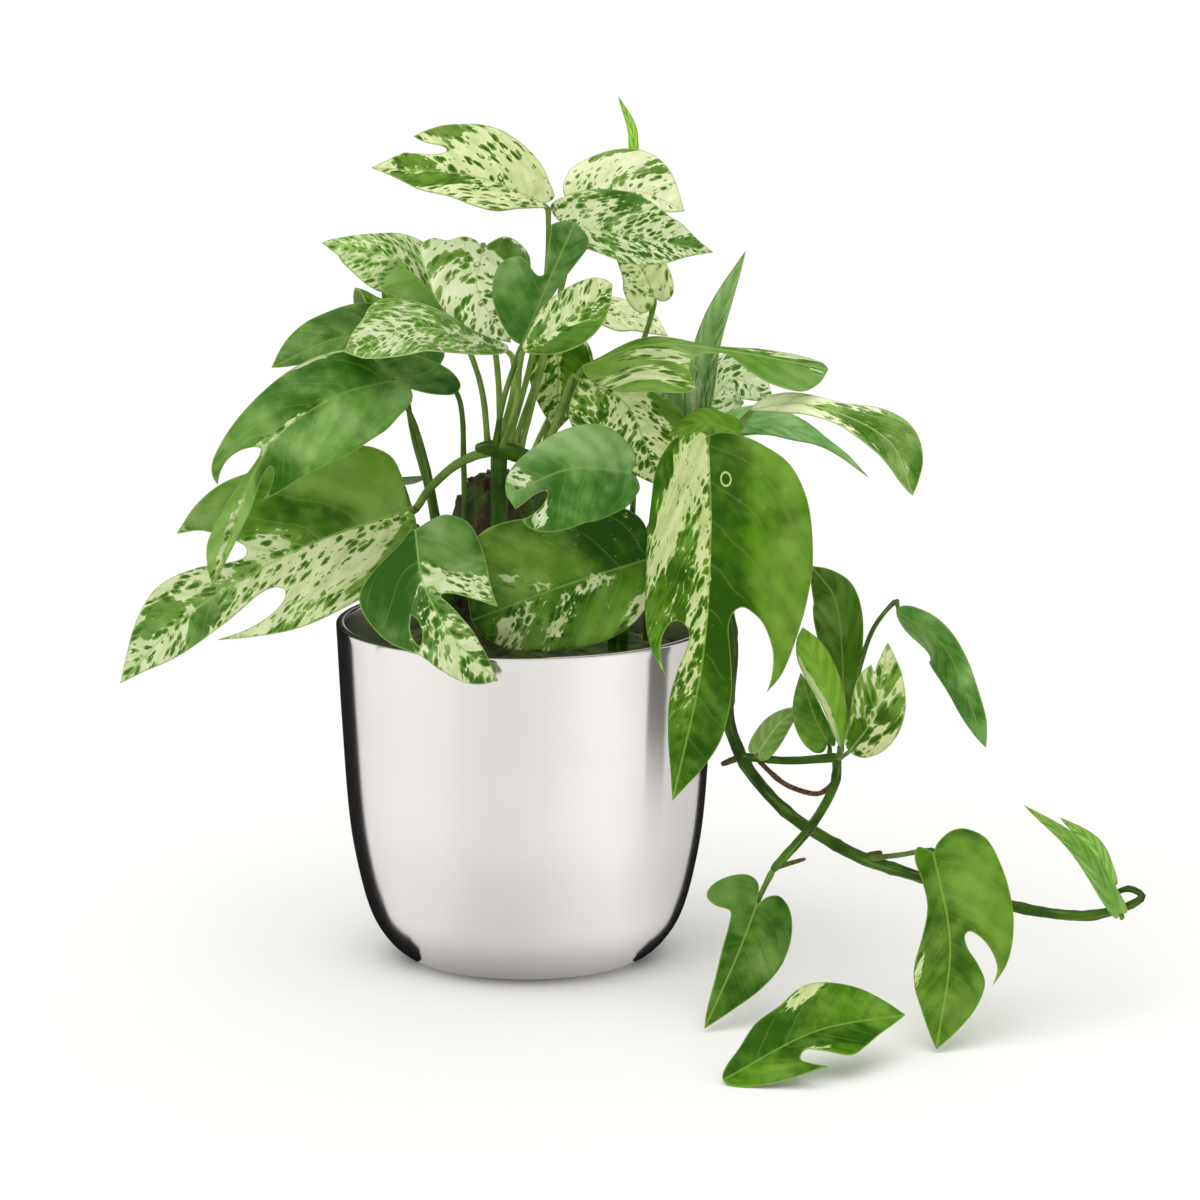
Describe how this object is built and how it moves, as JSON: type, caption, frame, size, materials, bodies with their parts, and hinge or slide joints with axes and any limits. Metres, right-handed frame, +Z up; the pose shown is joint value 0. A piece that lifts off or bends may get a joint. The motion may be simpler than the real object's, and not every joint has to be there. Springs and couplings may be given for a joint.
{
  "type": "potted marble king pothos",
  "caption": "Marbled pothos with cut, heart-shaped leaves and a trailing vine, in a polished round metal cup pot that stands on a flat foot.",
  "frame": {"origin": "middle of the pot's flat foot, on the surface it stands on", "axes": "+Z up, +X to the right of a person looking at the front, +Y away from them"},
  "size_m": [0.5001, 0.3521, 0.4301],
  "materials": {
    "polished_metal": "mirror polish",
    "growing_mix": "coarse bark, peat and moss",
    "blade_marbled": "waxy green leaf marbled with cream",
    "blade_bright": "waxy bright green leaf",
    "blade_pale": "waxy cream leaf flecked with green",
    "blade_dark": "waxy dark green leaf",
    "stem": "smooth green stem"
  },
  "bodies": {
    "root": {"pot": "polished_metal", "growing_mix": "growing_mix", "leaf_top_left": "blade_marbled", "leaf_spike": "blade_bright", "leaf_top_back": "blade_pale", "leaf_upper_right": "blade_marbled", "leaf_under_right": "blade_marbled", "leaf_centre_dark": "blade_dark", "leaf_centre_right": "blade_marbled", "leaf_upper_left": "blade_marbled", "leaf_upper_middle": "blade_pale", "leaf_middle_left": "blade_pale", "leaf_centre_hanging": "blade_bright", "leaf_right_long": "blade_marbled", "leaf_right_hanging": "blade_marbled", "leaf_back_pale": "blade_pale", "leaf_left_big": "blade_marbled", "leaf_behind_right": "blade_bright", "crown_stems": "stem", "leaf_left_front": "blade_dark", "leaf_left_back": "blade_dark", "leaf_front_left": "blade_marbled", "leaf_behind_left": "blade_bright", "leaf_behind_low_left": "blade_dark", "left_stems": "stem", "leaf_front_heart": "blade_dark", "leaf_front_wide": "blade_dark", "leaf_hero": "blade_bright", "leaf_behind_hero": "blade_bright", "leaf_right_tall": "blade_dark", "leaf_right_pale": "blade_pale", "leaf_right_grey": "blade_dark", "leaf_right_arch": "blade_pale", "leaf_behind_low_right": "blade_dark", "leaf_behind_low": "blade_bright", "right_stems": "stem", "leaf_vine_back": "blade_dark", "leaf_vine_bright": "blade_bright", "leaf_vine_side": "blade_dark", "leaf_vine_marbled": "blade_marbled", "leaf_vine_long": "blade_dark", "leaf_vine_small": "blade_pale", "leaf_vine_front": "blade_bright", "leaf_vine_low": "blade_bright", "leaf_vine_end": "blade_bright", "leaf_vine_end_young": "blade_bright", "vine_stems": "stem", "fallen_leaf": "blade_bright"}
  },
  "joints": []
}
